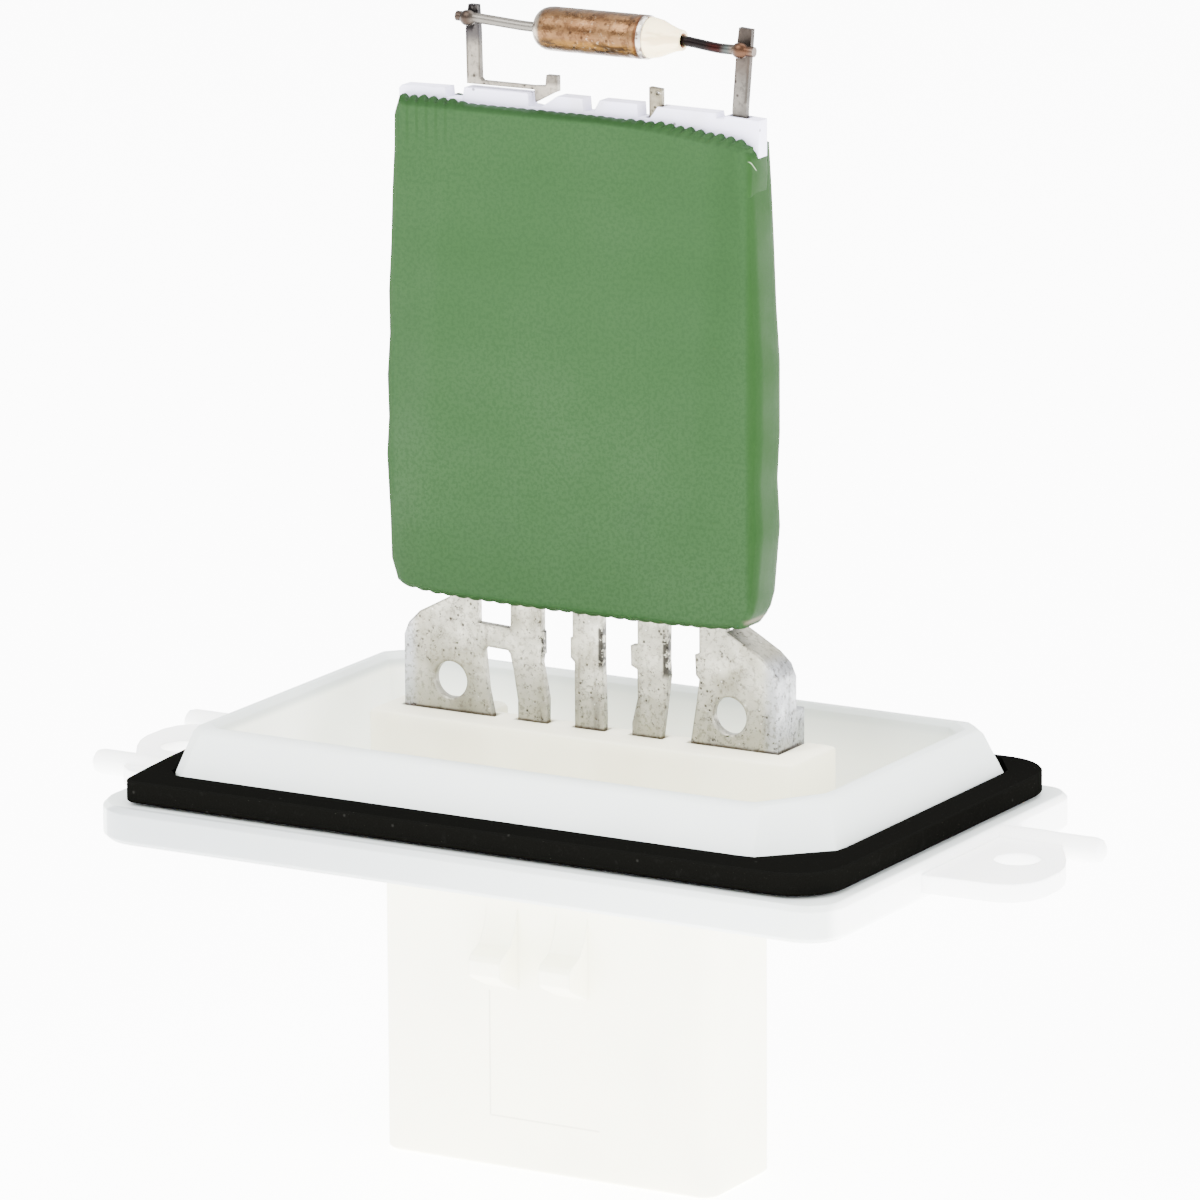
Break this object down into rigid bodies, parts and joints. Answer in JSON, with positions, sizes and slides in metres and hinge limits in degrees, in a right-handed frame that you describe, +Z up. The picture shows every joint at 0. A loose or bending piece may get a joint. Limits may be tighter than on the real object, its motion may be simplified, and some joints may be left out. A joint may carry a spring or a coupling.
{
  "type": "blower motor resistor",
  "caption": "Blower motor resistor: coated card on blade terminals over a gasketed flange with screw ears and a connector shroud, and a thermal fuse on posts above the card.",
  "frame": {"origin": "middle of the box that the part fills, at the bottom face of the connector shroud it stands on", "axes": "+X along the long side of the flange toward the right ear, +Z up from the shroud to the fuse; the card's front faces -Y"},
  "size_m": [0.099, 0.0488, 0.1082],
  "materials": {
    "nylon": "satin natural nylon",
    "foam": "fine closed foam",
    "tinned_sheet": "tinned, dull",
    "ceramic": "unglazed white ceramic",
    "resistance_wire": "bare resistance wire",
    "silicone": "satin green silicone coat",
    "fuse_case": "coppery, scuffed",
    "epoxy": "cream epoxy",
    "lead_wire": "plated copper wire"
  },
  "bodies": {
    "root": {"base_moulding": "nylon", "flange_gasket": "foam", "left_terminal": "tinned_sheet", "middle_terminal": "tinned_sheet", "inner_terminal": "tinned_sheet", "right_terminal": "tinned_sheet", "ceramic_core": "ceramic", "lower_winding": "resistance_wire", "middle_winding": "resistance_wire", "upper_winding": "resistance_wire", "silicone_jacket": "silicone", "left_fuse_post": "tinned_sheet", "tap_tab": "tinned_sheet", "right_fuse_post": "tinned_sheet", "fuse_can": "fuse_case", "fuse_seal": "epoxy", "left_fuse_lead": "lead_wire", "right_fuse_lead": "lead_wire"}
  },
  "joints": []
}
